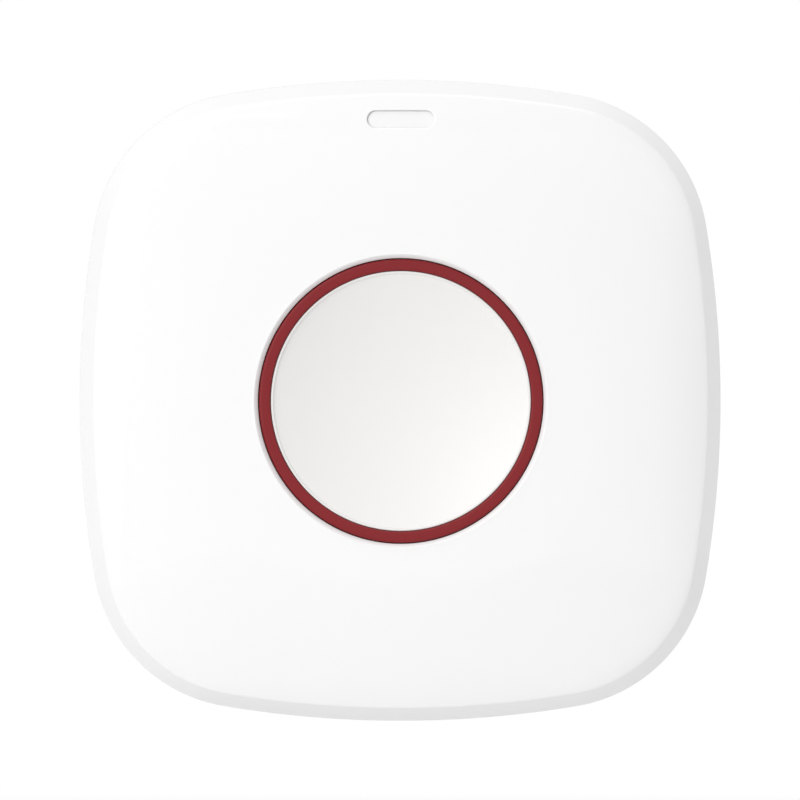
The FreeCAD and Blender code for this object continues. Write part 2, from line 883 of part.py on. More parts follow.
def stop_tabs():
    """Tabs at the skirt's foot, which catch in the collar's notches and hold the button in."""
    length = ring_width + stop_tab_reach
    tab = block(length, stop_tab_width, skirt_foot, tab_top, skirt_inner + length / 2)
    tab = tab.common(tube(button_radius + stop_tab_reach, skirt_inner, skirt_foot, tab_top))
    return around(tab, stop_tab_count, 90)


def button_carrier():
    """The red moulding: the ring that shows, the skirt in the collar, and the boss over the switch."""
    skirt = tube(button_radius, skirt_inner, skirt_foot, ring_top)
    floor = cylinder(skirt_inner, carrier_under, cap_under)
    boss = cylinder(boss_diameter / 2, boss_foot, carrier_under)
    cup = skirt.fuse([floor, boss] + carrier_ribs() + stop_tabs()).removeSplitter()
    peg_hole = cylinder(peg_diameter / 2 + peg_clearance, carrier_under, cap_under, peg_circle / 2)
    cup = cup.cut(around(peg_hole, peg_count, peg_angle))
    rim = ring_edges(cup, button_radius, cap_rim, face_top) + ring_edges(cup, skirt_inner, cap_rim, face_top)
    return cup.makeChamfer(ring_edge_break, rim)


def button_cap():
    """The white finger dish, pegged through the carrier's floor."""
    disc = cylinder(cap_radius, cap_under, cap_rim)
    rim = ring_edges(disc, cap_radius, cap_under + cap_edge_break, face_top)
    disc = disc.makeChamfer(cap_edge_break, rim)
    reach = cap_radius - cap_edge_break
    ball = (reach**2 + dish_depth**2) / (2 * dish_depth)
    disc = disc.cut(Part.makeSphere(ball, Vector(0, 0, cap_rim - dish_depth + ball), Vector(1, 0, 0)))
    shank = cylinder(peg_diameter / 2, carrier_under, cap_under, peg_circle / 2)
    head = cylinder(peg_head_diameter / 2, carrier_under - peg_head_height, carrier_under, peg_circle / 2)
    return disc.fuse(around(shank.fuse(head), peg_count, peg_angle)).removeSplitter()


def light_guide():
    """The frosted window in the indicator slot, with a flange behind the face and a foot over the lamp."""
    inside = 2 * guide_clearance
    window = slot_bar(slot_length - inside, slot_height - inside, guide_seat, face_top)
    under_face = slab(cavity_inset, guide_seat - overcut, dome_foot - slot_recess)
    window = window.common(pillow(slot_recess).fuse(under_face))
    flange_low = guide_seat - guide_flange_thickness
    flange_length = slot_length + 2 * guide_flange_margin
    flange = slot_bar(flange_length, slot_height + guide_flange_margin, flange_low, guide_seat)
    foot_low = board_front + led_height + guide_foot_gap
    foot = tapered_block(led_length, led_width, foot_low, slot_length - slot_height, slot_height, flange_low)
    foot.translate(Vector(0, slot_centre, 0))
    return window.fuse([flange, foot]).removeSplitter()


def status_led():
    """The surface-mounted lamp under the light guide, with its clear lens block on a thin base."""
    base_top = board_front + led_base_height
    base = block(led_length, led_width, board_front, base_top, 0, slot_centre)
    lens = block(led_lens_length, led_width, base_top, board_front + led_height, 0, slot_centre)
    return base.fuse(lens).removeSplitter()


def radio_shield():
    """The drawn steel lid over the radio, open towards the board, with rows of vent holes."""
    top = board_front + shield_height
    lid = rounded_block(shield_width, shield_length, shield_corner, board_front, top, shield_x)
    room = block(
        shield_width - 2 * shield_wall,
        shield_length - 2 * shield_wall,
        board_front,
        top - shield_wall,
        shield_x,
    )
    vents = []
    for column in (-1, 0, 1):
        for row in (-0.5, 0.5):
            x = shield_x + column * vent_pitch_across
            vents.append(cylinder(vent_diameter / 2, board_front, top, x, row * vent_pitch_along))
    return lid.cut([room] + vents)


def controller_chip():
    """The flat controller package, with a dimple at its first pin."""
    top = board_front + chip_height
    body = block(chip_width, chip_width, board_front, top, chip_x, chip_offset)
    dimple_reach = chip_width / 2 - chip_dimple_inset
    dimple_x = chip_x - dimple_reach
    dimple_y = chip_offset + dimple_reach
    return body.cut(cylinder(chip_dimple_diameter / 2, top - chip_dimple_depth, top, dimple_x, dimple_y))


def crystal():
    """The metal-lidded crystal beside the controller."""
    y = chip_offset - chip_width / 2 - crystal_gap - crystal_width / 2
    base_top = board_front + crystal_base_height
    base = block(crystal_width, crystal_width, board_front, base_top, chip_x, y)
    lid_width = crystal_width - 2 * crystal_lid_inset
    lid = block(lid_width, lid_width, base_top, board_front + crystal_height, chip_x, y)
    return base.fuse(lid).removeSplitter()


def chip_parts():
    """Two rows of small resistors and capacitors, above and below the button's collar."""
    row_y = collar_radius + passive_gap + passive_length / 2
    top = board_front + passive_height
    pieces = []
    for step in range(passive_count):
        x = (step - (passive_count - 1) / 2) * passive_pitch
        for y in (-row_y, row_y):
            pieces.append(block(passive_width, passive_length, board_front, top, x, y))
    return Part.makeCompound(pieces)


def antenna():
    """The bent wire antenna along the right edge of the board, carried by its two legs."""
    half = antenna_length / 2
    top = board_front + antenna_height - antenna_wire / 2
    bend = antenna_bend_radius
    slant = bend * (1 - math.sqrt(0.5))
    points = [
        Vector(antenna_x, y, z)
        for y, z in (
            (-half, board_front),
            (-half, top - bend),
            (slant - half, top - slant),
            (bend - half, top),
            (half - bend, top),
            (half - slant, top - slant),
            (half, top - bend),
            (half, board_front),
        )
    ]
    edges = [
        Part.LineSegment(points[0], points[1]),
        Part.Arc(points[1], points[2], points[3]),
        Part.LineSegment(points[3], points[4]),
        Part.Arc(points[4], points[5], points[6]),
        Part.LineSegment(points[6], points[7]),
    ]
    profile = wire_section(antenna_wire).translated(points[0])
    return Part.Wire([edge.toShape() for edge in edges]).makePipeShell([profile], True, True)


def tamper_switch():
    """The case-open switch on the back of the board, over its post on the rear cover."""
    body = block(tamper_body_width, tamper_body_length, tamper_foot, board_back, tamper_x, tamper_y)
    well_radius = tamper_plunger_diameter / 2 + plunger_clearance
    return body.cut(cylinder(well_radius, tamper_foot, tamper_foot + tamper_well_depth, tamper_x, tamper_y))


def tamper_plunger():
    """The case-open switch's plunger, held down by the post while the case is shut."""
    top = tamper_foot + tamper_plunger_seat
    return cylinder(tamper_plunger_diameter / 2, tamper_tip, top, tamper_x, tamper_y)


PIECES = {
    "front_cover": front_cover,
    "rear_cover": rear_cover,
    "cover_screw": cover_screw,
    "circuit_board": circuit_board,
    "board_screws": board_screws,
    "coin_cell": coin_cell,
    "cell_holder": cell_holder,
    "contact_plus": contact_plus,
    "contact_minus": contact_minus,
    "switch_base": switch_base,
    "switch_cover": switch_cover,
    "switch_terminals": switch_terminals,
    "rubber_dome": rubber_dome,
    "switch_plunger": switch_plunger,
    "spring_seat": spring_seat,
    "return_spring": return_spring,
    "button_carrier": button_carrier,
    "button_cap": button_cap,
    "light_guide": light_guide,
    "status_led": status_led,
    "radio_shield": radio_shield,
    "controller_chip": controller_chip,
    "crystal": crystal,
    "chip_parts": chip_parts,
    "antenna": antenna,
    "tamper_switch": tamper_switch,
    "tamper_plunger": tamper_plunger,
}


os.makedirs("parts", exist_ok=True)
for name, make in PIECES.items():
    piece = make()
    piece.rotate(Vector(0, 0, 0), Vector(1, 0, 0), 90)
    box = piece.BoundBox
    size = (round(box.XLength, 2), round(box.YLength, 2), round(box.ZLength, 2))
    print(name, "valid" if piece.isValid() else "NOT VALID", len(piece.Solids), round(piece.Volume, 2), size)
    piece.exportStep("parts/" + name + ".step")
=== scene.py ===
# %% [markdown]
# # A wireless panic button
# The object is a white moulded case, 62 mm square with bulging sides, that hangs on a wall. Its face is a low
# pillow with a round button in the middle: a white finger dish inside a red ring. The CAD model comes first, as
# a fixed frame, and everything that is made below sits in that frame.

# %% Load the frame
import json
import math

import bmesh
import bpy
from mathutils import Matrix, Vector


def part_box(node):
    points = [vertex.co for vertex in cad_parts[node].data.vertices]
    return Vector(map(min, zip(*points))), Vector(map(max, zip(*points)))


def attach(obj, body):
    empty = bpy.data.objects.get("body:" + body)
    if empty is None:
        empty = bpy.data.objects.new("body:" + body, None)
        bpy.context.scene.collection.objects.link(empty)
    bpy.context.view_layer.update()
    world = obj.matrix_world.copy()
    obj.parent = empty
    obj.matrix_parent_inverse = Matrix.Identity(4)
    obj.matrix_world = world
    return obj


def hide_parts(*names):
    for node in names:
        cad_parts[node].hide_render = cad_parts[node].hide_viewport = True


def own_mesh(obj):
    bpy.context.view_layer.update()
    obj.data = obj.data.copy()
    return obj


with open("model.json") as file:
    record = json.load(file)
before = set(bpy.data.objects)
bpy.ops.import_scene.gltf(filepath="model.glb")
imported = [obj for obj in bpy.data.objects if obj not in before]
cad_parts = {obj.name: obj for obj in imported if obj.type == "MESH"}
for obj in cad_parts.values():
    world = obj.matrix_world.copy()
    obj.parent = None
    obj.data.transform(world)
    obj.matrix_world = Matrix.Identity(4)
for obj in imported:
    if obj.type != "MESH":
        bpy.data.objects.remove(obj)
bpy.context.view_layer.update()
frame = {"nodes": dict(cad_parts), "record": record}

# %% [markdown]
# ## Units and places
# Moulders give sizes in millimetres, with the part lying on its back. So each piece is shaped lying down, X to
# the right, Y to the top edge and Z out through the face, and is then scaled to metres and turned up to hang on
# the wall. The levels that the pieces share are read from the CAD boxes, so nothing has to be fitted later.

# %% Read the shared sizes from the CAD boxes
mm = 0.001


def span(node, axis):
    """The lowest and highest place of a CAD node along an axis, in millimetres."""
    low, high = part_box(node)
    return low[axis] / mm, high[axis] / mm


def levels(node):
    """How far the back and the front of a CAD node stand out from the wall, in millimetres."""
    low, high = span(node, 1)
    return -high, -low


half_width = span("front_cover", 0)[1]
cover_foot, face_top = levels("front_cover")
ring_top = levels("button_carrier")[1]
cap_rim = levels("button_cap")[1]
print("half width", round(half_width, 2), "face", round(face_top, 2))
print("ring", round(ring_top, 2), "cap", round(cap_rim, 2))

# %% [markdown]
# ## From a mesh under construction to a piece of the part
# Every piece ends the same way: scaled, turned up, smooth-shaded with crisp edges kept where the surface really
# turns, given a finish and tied to the body that it moves with, and the CAD piece that it stands for is hidden.

# %% Turn a finished form into a piece
finishes = {}
crease_angle = 40


def rotate_form(form, angle, axis):
    """Turns a whole form about an axis through the middle of the back."""
    matrix = Matrix.Rotation(angle, 3, axis)
    bmesh.ops.rotate(form, verts=form.verts[:], cent=Vector(), matrix=matrix)


def make_piece(form, name, finish, body, node):
    """Hangs a lying form on the wall as a piece that stands for a CAD node."""
    bmesh.ops.scale(form, verts=form.verts[:], vec=Vector((mm, mm, mm)))
    rotate_form(form, math.pi / 2, "X")
    mesh = bpy.data.meshes.new(name)
    form.to_mesh(mesh)
    form.free()
    mesh.shade_smooth()
    mesh.set_sharp_from_angle(angle=math.radians(crease_angle))
    piece = bpy.data.objects.new(name, mesh)
    bpy.context.scene.collection.objects.link(piece)
    mesh.materials.append(finishes[finish])
    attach(piece, body)
    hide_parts(node)
    print(name, "has", len(mesh.polygons), "faces")
    return piece


print("edges stay crisp from", crease_angle, "degrees")

# %% [markdown]
# ## Two helpers for shader nodes
# An effect that several finishes share is made once, as a node group with named inputs, and each finish sets its
# own values on it. One helper opens such a group, and the other adds a node and sets its properties.

# %% Make the node helpers


def new_group(name, inputs, outputs):
    """An empty node group with named sockets."""
    group = bpy.data.node_groups.new(name, "ShaderNodeTree")
    for label, kind, value in inputs:
        socket = group.interface.new_socket(label, in_out="INPUT", socket_type=kind)
        socket.default_value = value
    for label, kind in outputs:
        group.interface.new_socket(label, in_out="OUTPUT", socket_type=kind)
    return group


def add(tree, kind, **values):
    """A node, with values for its properties."""
    node = tree.nodes.new(kind)
    for label, value in values.items():
        setattr(node, label, value)
    return node


print("node groups so far:", len(bpy.data.node_groups))

# %% [markdown]
# ## The surface of moulded plastic
# Plastic that leaves a steel mould is never one flat colour. The mould's polish, or its fine texture, lies on it
# as a grain far below a tenth of a millimetre, and the gloss drifts a little where the melt flowed. All the
# plastics here share this effect, so it is one node group with its own values in each finish.

# %% Build the moulded-skin group
moulded_skin = new_group(
    "moulded skin",
    [
        ("Colour", "NodeSocketColor", (1, 1, 1, 1)),
        ("Drift Colour", "NodeSocketColor", (1, 1, 1, 1)),
        ("Drift Scale", "NodeSocketFloat", 40.0),
        ("Roughness", "NodeSocketFloat", 0.3),
        ("Roughness Drift", "NodeSocketFloat", 0.04),
        ("Grain Scale", "NodeSocketFloat", 4000.0),
    ],
    [("Colour", "NodeSocketColor"), ("Roughness", "NodeSocketFloat"), ("Grain", "NodeSocketFloat")],
)
inside = add(moulded_skin, "NodeGroupInput")
outside = add(moulded_skin, "NodeGroupOutput")
place = add(moulded_skin, "ShaderNodeTexCoord")
cloud = add(moulded_skin, "ShaderNodeTexNoise")
cloud.inputs["Detail"].default_value = 3.0
grain = add(moulded_skin, "ShaderNodeTexNoise")
grain.inputs["Detail"].default_value = 2.0
tint = add(moulded_skin, "ShaderNodeMix", data_type="RGBA")
spread = add(moulded_skin, "ShaderNodeMath", operation="SUBTRACT")
spread.inputs[1].default_value = 0.5
swing = add(moulded_skin, "ShaderNodeMath", operation="MULTIPLY")
total = add(moulded_skin, "ShaderNodeMath", operation="ADD")
wire = moulded_skin.links.new
wire(place.outputs["Object"], cloud.inputs["Vector"])
wire(place.outputs["Object"], grain.inputs["Vector"])
wire(inside.outputs["Drift Scale"], cloud.inputs["Scale"])
wire(inside.outputs["Grain Scale"], grain.inputs["Scale"])
wire(cloud.outputs["Fac"], tint.inputs["Factor"])
wire(inside.outputs["Colour"], tint.inputs["A"])
wire(inside.outputs["Drift Colour"], tint.inputs["B"])
wire(cloud.outputs["Fac"], spread.inputs[0])
wire(spread.outputs[0], swing.inputs[0])
wire(inside.outputs["Roughness Drift"], swing.inputs[1])
wire(swing.outputs[0], total.inputs[0])
wire(inside.outputs["Roughness"], total.inputs[1])
wire(tint.outputs["Result"], outside.inputs["Colour"])
wire(total.outputs[0], outside.inputs["Roughness"])
wire(grain.outputs["Fac"], outside.inputs["Grain"])
print("group:", moulded_skin.name, "with", len(moulded_skin.nodes), "nodes")

# %% [markdown]
# ## Plastics and rubber
# The case is a glossy white, the cap a duller and slightly warm white with a spark-eroded texture for the
# finger, the carrier a deep red. Each is a Principled shader fed by the skin group. A line below gives the
# colour, the share of it that it drifts to, the roughness, the grains in a metre and their height in
# micrometres. The height is a real one, set on the bump node, so the light breaks up as it does on the moulding.

# %% Make the plastics
micron = 0.000001
gloss_drift = 0.2


def lighter(colour, share):
    """The same colour, scaled."""
    return tuple(channel * share for channel in colour)


def plastic(name, colour, drift, roughness, grain_scale, grain_height, **shader_values):
    """A moulded plastic: its colour drifts to another share of itself, and its skin has a fine grain."""
    material = bpy.data.materials.new(name)
    material.use_nodes = True
    tree = material.node_tree
    shader = tree.nodes["Principled BSDF"]
    skin = add(tree, "ShaderNodeGroup", node_tree=moulded_skin)
    skin.inputs["Colour"].default_value = (*colour, 1)
    skin.inputs["Drift Colour"].default_value = (*lighter(colour, drift), 1)
    skin.inputs["Roughness"].default_value = roughness
    skin.inputs["Roughness Drift"].default_value = roughness * gloss_drift
    skin.inputs["Grain Scale"].default_value = grain_scale
    bump = add(tree, "ShaderNodeBump")
    bump.inputs["Distance"].default_value = grain_height * micron
    tree.links.new(skin.outputs["Colour"], shader.inputs["Base Color"])
    tree.links.new(skin.outputs["Roughness"], shader.inputs["Roughness"])
    tree.links.new(skin.outputs["Grain"], bump.inputs["Height"])
    tree.links.new(bump.outputs["Normal"], shader.inputs["Normal"])
    for label, value in shader_values.items():
        shader.inputs[label.replace("_", " ")].default_value = value
    finishes[name] = material


plastic("white_case", (0.93, 0.93, 0.93), 0.992, 0.08, 1200, 0.2)
plastic("white_matt", (0.86, 0.86, 0.855), 0.985, 0.45, 3000, 4)
plastic("white_cap", (0.875, 0.866, 0.851), 0.985, 0.42, 2600, 6)
plastic("red_ring", (0.242, 0.018, 0.022), 0.9, 0.34, 2600, 2, Specular_IOR_Level=0.2)
plastic("frosted_window", (0.9, 0.9, 0.9), 0.99, 0.35, 3000, 2)
plastic("lamp_lens", (0.9, 0.88, 0.66), 0.97, 0.12, 1200, 0.5)
plastic("black_moulding", (0.02, 0.02, 0.021), 0.8, 0.5, 3000, 4)
plastic("dark_rubber", (0.03, 0.03, 0.03), 0.85, 0.7, 3500, 6)
print("plastics:", sorted(finishes))

# %% [markdown]
# ## The lines on drawn metal
# Rolled and drawn metal keeps fine lines along the way that it was worked. A scratch texture would do, but it has
# to be drawn first. Here a noise that is stretched along one axis gives the lines, and it changes the roughness
# and the bump but hardly the colour.

# %% Build the drawn-metal group
lines_along, lines_across = 300, 6000
line_roughness = 0.12
drawn_metal = new_group(
    "drawn metal",
    [
        ("Colour", "NodeSocketColor", (0.6, 0.6, 0.6, 1)),
        ("Line Colour", "NodeSocketColor", (0.5, 0.5, 0.5, 1)),
        ("Roughness", "NodeSocketFloat", 0.3),
    ],
    [("Colour", "NodeSocketColor"), ("Roughness", "NodeSocketFloat"), ("Lines", "NodeSocketFloat")],
)
inside = add(drawn_metal, "NodeGroupInput")
outside = add(drawn_metal, "NodeGroupOutput")
place = add(drawn_metal, "ShaderNodeTexCoord")
stretch = add(drawn_metal, "ShaderNodeMapping")
stretch.inputs["Scale"].default_value = (lines_along, lines_across, lines_across)
lines = add(drawn_metal, "ShaderNodeTexNoise")
lines.inputs["Scale"].default_value = 1.0
tint = add(drawn_metal, "ShaderNodeMix", data_type="RGBA")
swing = add(drawn_metal, "ShaderNodeMath", operation="MULTIPLY_ADD")
swing.inputs[1].default_value = line_roughness
wire = drawn_metal.links.new
wire(place.outputs["Object"], stretch.inputs["Vector"])
wire(stretch.outputs["Vector"], lines.inputs["Vector"])
wire(lines.outputs["Fac"], tint.inputs["Factor"])
wire(inside.outputs["Colour"], tint.inputs["A"])
wire(inside.outputs["Line Colour"], tint.inputs["B"])
wire(lines.outputs["Fac"], swing.inputs[0])
wire(inside.outputs["Roughness"], swing.inputs[2])
wire(tint.outputs["Result"], outside.inputs["Colour"])
wire(swing.outputs[0], outside.inputs["Roughness"])
wire(lines.outputs["Fac"], outside.inputs["Lines"])
print("group:", drawn_metal.name, "with", len(drawn_metal.nodes), "nodes")

# %% [markdown]
# ## Metals
# The spring, the screws and the shield are steel, the coin cell is nickel-plated and the contacts are tinned. A
# metal has no colour under its gloss, so the shader's Metallic is 1 and the base colour tints the reflection.

# %% Make the metals
line_share = 0.85
line_height = 2


def metal(name, colour, roughness):
    """A metal with fine drawn lines."""
    material = bpy.data.materials.new(name)
    material.use_nodes = True
    tree = material.node_tree
    shader = tree.nodes["Principled BSDF"]
    shader.inputs["Metallic"].default_value = 1.0
    skin = add(tree, "ShaderNodeGroup", node_tree=drawn_metal)
    skin.inputs["Colour"].default_value = (*colour, 1)
    skin.inputs["Line Colour"].default_value = (*lighter(colour, line_share), 1)
    skin.inputs["Roughness"].default_value = roughness
    bump = add(tree, "ShaderNodeBump")
    bump.inputs["Distance"].default_value = line_height * micron
    tree.links.new(skin.outputs["Colour"], shader.inputs["Base Color"])
    tree.links.new(skin.outputs["Roughness"], shader.inputs["Roughness"])
    tree.links.new(skin.outputs["Lines"], bump.inputs["Height"])
    tree.links.new(bump.outputs["Normal"], shader.inputs["Normal"])
    finishes[name] = material


metal("screw_steel", (0.56, 0.57, 0.58), 0.28)
metal("cell_steel", (0.68, 0.68, 0.67), 0.2)
metal("spring_steel", (0.6, 0.6, 0.6), 0.18)
metal("tinned_brass", (0.66, 0.62, 0.5), 0.3)
print("finishes so far:", len(finishes))

# %% [markdown]
# ## The circuit board and its smallest parts
# A board is glass cloth under green solder mask, and the weave shows faintly through the mask. Two wave patterns
# at right angles give the weave here. The chip parts are fired ceramic with a speckle, which the plastic recipe
# gives with a finer grain and a stronger drift.

# %% Make the board and ceramic finishes
weave_scale = 600
weave_height = 4
mask_over_gap = (0.008, 0.09, 0.028, 1)
mask_over_thread = (0.014, 0.13, 0.042, 1)
board = bpy.data.materials.new("board_green")
board.use_nodes = True
tree = board.node_tree
shader = tree.nodes["Principled BSDF"]
shader.inputs["Roughness"].default_value = 0.32
place = add(tree, "ShaderNodeTexCoord")
warp = add(tree, "ShaderNodeTexWave", bands_direction="X")
weft = add(tree, "ShaderNodeTexWave", bands_direction="Z")
weave = add(tree, "ShaderNodeMath", operation="MULTIPLY")
mask = add(tree, "ShaderNodeMix", data_type="RGBA")
mask.inputs["A"].default_value = mask_over_gap
mask.inputs["B"].default_value = mask_over_thread
bump = add(tree, "ShaderNodeBump")
bump.inputs["Distance"].default_value = weave_height * micron
for wave in (warp, weft):
    wave.inputs["Scale"].default_value = weave_scale
    tree.links.new(place.outputs["Object"], wave.inputs["Vector"])
tree.links.new(warp.outputs["Fac"], weave.inputs[0])
tree.links.new(weft.outputs["Fac"], weave.inputs[1])
tree.links.new(weave.outputs[0], mask.inputs["Factor"])
tree.links.new(mask.outputs["Result"], shader.inputs["Base Color"])
tree.links.new(weave.outputs[0], bump.inputs["Height"])
tree.links.new(bump.outputs["Normal"], shader.inputs["Normal"])
finishes["board_green"] = board
plastic("chip_ceramic", (0.17, 0.1, 0.05), 0.7, 0.4, 9000, 4)
print("finishes:", len(finishes))

# %% [markdown]
# ## Finish the CAD pieces
# The CAD pieces whose shape is already right only need a better surface. The record says which slot each one
# takes, so the finish is looked up there.

# %% Put a finish on every CAD piece
for entry in frame["record"]["subparts"]:
    node = frame["nodes"][entry["node"]]
    finish = finishes[entry["material_slot"]]
    if not node.material_slots:
        node.data.materials.append(finish)
    for place_in_list in node.material_slots:
        place_in_list.material = finish

# %% [markdown]
# ## The outline of the case
# From the front the case is a square with bulging sides and rounded corners: four large arcs for the sides, and
# four smaller ones that meet them without a kink. Every section of the case wants its points in the same
# directions from the middle, so that the mesh's long edges run straight from the rim to the button. So the
# outline is written as its reach in a direction.

# %% Write the outline as a reach in each direction
side_bulge_radius = 102.8
corner_radius = 15.3


def outline_reach(angle, half, side_radius, round_radius):
    """How far the outline of bulging sides and tangent corners is from its middle, in one direction."""
    fold = abs((angle + math.pi / 4) % (math.pi / 2) - math.pi / 4)
    side_centre = half - side_radius
    reach = side_radius - round_radius
    corner_centre = (side_centre + math.sqrt(2 * reach**2 - side_centre**2)) / 2
    lean = math.atan2(corner_centre, corner_centre - side_centre)
    joint_x = side_centre + side_radius * math.cos(lean)
    joint_y = side_radius * math.sin(lean)
    if fold < math.atan2(joint_y, joint_x):
        centre, radius = Vector((side_centre, 0)), side_radius
    else:
        centre, radius = Vector((corner_centre, corner_centre)), round_radius
    along = centre.dot(Vector((math.cos(fold), math.sin(fold))))
    return along + math.sqrt(along**2 - centre.length_squared + radius**2)


def case_ring(inset):
    """The case outline, moved in by an inset."""
    half, bulge, corner = half_width - inset, side_bulge_radius - inset, corner_radius - inset
    return lambda angle: outline_reach(angle, half, bulge, corner)


def round_ring(radius):
    """A circle about the button's axis."""
    return lambda angle: radius


print("reach to a side", round(case_ring(0)(0), 2), "and to a corner", round(case_ring(0)(math.pi / 4), 2))

# %% [markdown]
# ## Covers from rings of edges
# A cover is a stack of closed rings, each a section at its own height. A lofted surface would need its sections
# first and its mesh later. Extruding a ring of edges makes the next ring and the faces between them at once, and
# each corner is then put at its reach in the direction that it already has.

# %% Start a ring and extrude the next one
ring_points = 384


def place_corners(corners, ring, height):
    """Puts each corner of a ring at its reach, in the direction that it already has."""
    for corner in corners:
        angle = math.atan2(corner.co.y, corner.co.x)
        reach = ring(angle)
        corner.co = Vector((reach * math.cos(angle), reach * math.sin(angle), height))


def first_ring(form, ring, height):
    """A ring of edges, not filled, at a height."""
    bmesh.ops.create_circle(form, cap_ends=False, segments=ring_points, radius=1)
    place_corners(form.verts, ring, height)
    return form.edges[:]


def grow(form, edges):
    """Extrudes a ring of edges in place, and returns the new corners and the new edges."""
    grown = bmesh.ops.extrude_edge_only(form, edges=edges)["geom"]
    corners = set(part for part in grown if isinstance(part, bmesh.types.BMVert))
    edges = [part for part in grown if isinstance(part, bmesh.types.BMEdge) and corners.issuperset(part.verts)]
    return corners, edges


def next_ring(form, edges, ring, height):
    """Extrudes a ring of edges to the next section."""
    corners, edges = grow(form, edges)
    place_corners(corners, ring, height)
    return edges


print("points in a ring:", ring_points)

# %% [markdown]
# ## Rounded edges in a section
# A moulded part has no sharp edge, because molten plastic doesn't fill one. Each edge that shows gets a small
# arc, drawn in the section: two straight lines meet, and the arc that touches both takes the corner's place.

# %% Round a corner of a section


def rounded(before, corner, after, radius, steps=6):
    """Points on the arc that rounds the corner between two lines of a section."""
    before, corner, after = Vector(before), Vector(corner), Vector(after)
    back = (before - corner).normalized()
    on = (after - corner).normalized()
    half_angle = back.angle(on) / 2
    centre = corner + (back + on).normalized() * (radius / math.sin(half_angle))
    start = corner + back * (radius / math.tan(half_angle)) - centre
    end = corner + on * (radius / math.tan(half_angle)) - centre
    turn = start.angle(end)
    points = []
    for step in range(steps + 1):
        share = step / steps
        arc = (start * math.sin((1 - share) * turn) + end * math.sin(share * turn)) / math.sin(turn)
        points.append(tuple(centre + arc))
    return points


trial = rounded((0, 2), (0, 0), (2, 0), 1, 2)
print("a right angle rounded by 1:", [tuple(round(value, 2) for value in point) for point in trial])

# %% [markdown]
# ## The pillow of the face
# From the rim to the button the face rises 2.2 mm, steeply at first and then ever less, and its outline changes
# from the case's to a circle. The first strip beside the rim falls a little more, which darkens it on the side
# away from the light. A subdivided box would be quicker, but its face would bulge where it liked. Here each
# section is a blend by one number, 0 at the rim and 1 just inside the hole, so the highlights run as on the
# moulded face.

# %% Write the pillow's sections
dome_rise = 2.2
dome_fullness = 2.1
edge_drop = 0.38
edge_fullness = 10
side_draft = 0.25
band_width = 1.3
dome_edge_strip = 0.5
dome_inset = side_draft + band_width + dome_edge_strip
edge_half = half_width - dome_inset
edge_round = corner_radius - dome_inset
dome_centre_half = 12.0
dome_centre_round = dome_centre_half - 0.1
dome_centre_bulge = 2.0
halvings = 30


def dome_height(share):
    """How far the face stands out from the wall at a section."""
    pillow = (dome_rise - edge_drop) * (1 - share) ** dome_fullness
    return face_top - pillow - edge_drop * (1 - share) ** edge_fullness


def dome_reach(angle, share):
    """The outline of a section of the pillow, in one direction."""
    half = edge_half + share * (dome_centre_half - edge_half)
    edge_curve = 1 / (side_bulge_radius - dome_inset)
    centre_curve = 1 / (dome_centre_half + dome_centre_bulge)
    side_radius = 1 / (edge_curve + share * (centre_curve - edge_curve))
    round_radius = edge_round + share * (dome_centre_round - edge_round)
    return outline_reach(angle, half, side_radius, round_radius)


def height_at(x, y):
    """How far the face stands out at a place, found by halving the range of sections."""
    angle, distance = math.atan2(y, x), math.hypot(x, y)
    low, high = 0.0, 1.0
    for _ in range(halvings):
        middle = (low + high) / 2
        if dome_reach(angle, middle) > distance:
            low = middle
        else:
            high = middle
    return dome_height(low)


print("face at the rim:", round(dome_height(0), 3), "and half way in:", round(dome_height(0.5), 3))

# %% [markdown]
# ## The mouth of the button's hole
# The hole's edge is bevelled, so the light from the upper left leaves a grey crescent on that side of the ring.
# The bevel meets the face and the hole with small roundings. The face has to arrive there as a circle, so its
# last rings are blended into one.

# %% Draw the mouth and the rings that lead to it
hole_radius = 13.68
mouth_break = 0.38
mouth_depth = 0.44
mouth_round = 0.1
round_from = 0.6
mouth_share = (edge_half - hole_radius - mouth_break) / (edge_half - dome_centre_half)
mouth_level = dome_height(mouth_share)
mouth_high = (hole_radius + mouth_break, mouth_level)
mouth_low = (hole_radius, mouth_level - mouth_depth)
mouth = rounded((edge_half, mouth_level), mouth_high, mouth_low, mouth_round, steps=3)
mouth += rounded(mouth_high, mouth_low, (hole_radius, 0), mouth_round, steps=3)


def face_ring(share):
    """A ring of the face, which turns into the mouth's circle over the last part of the way."""
    roundness = max(0, (share / mouth_share - round_from) / (1 - round_from)) ** 2
    return lambda angle: dome_reach(angle, share) * (1 - roundness) + mouth[0][0] * roundness


print("face at the mouth of the hole:", round(mouth_level, 3))

# %% [markdown]
# ## The section of the front cover
# Seen in section, the wall goes up the leaning side, round the shoulder, across the flat band and on to the face,
# with the slope that the pillow starts with. Inside, a collar guides the button, and the lining follows the
# outside about 2 mm behind it. A place here is how far in it lies from the outline, and its height.

# %% Draw the section of the front cover
band_fall = 2.3
foot_round, shoulder_round, rim_round = 0.2, 0.3, 0.5
wall_inset = 2.05
pillow_fall = (dome_rise - edge_drop) * dome_fullness + edge_drop * edge_fullness
rim_slope = pillow_fall / (edge_half - dome_centre_half)
rim_level = dome_height(0) - dome_edge_strip * rim_slope
shoulder_level = rim_level - band_fall
side_height = shoulder_level - cover_foot
foot = (0, cover_foot)
shoulder = (side_draft, shoulder_level)
rim = (side_draft + band_width, rim_level)
face_edge = (dome_inset, dome_height(0))
section = rounded((wall_inset, cover_foot), foot, shoulder, foot_round, steps=3)
section += [(side_draft * share, cover_foot + side_height * share) for share in (0.25, 0.5, 0.75)]
section += rounded(foot, shoulder, rim, shoulder_round)
section += rounded(shoulder, rim, face_edge, rim_round)

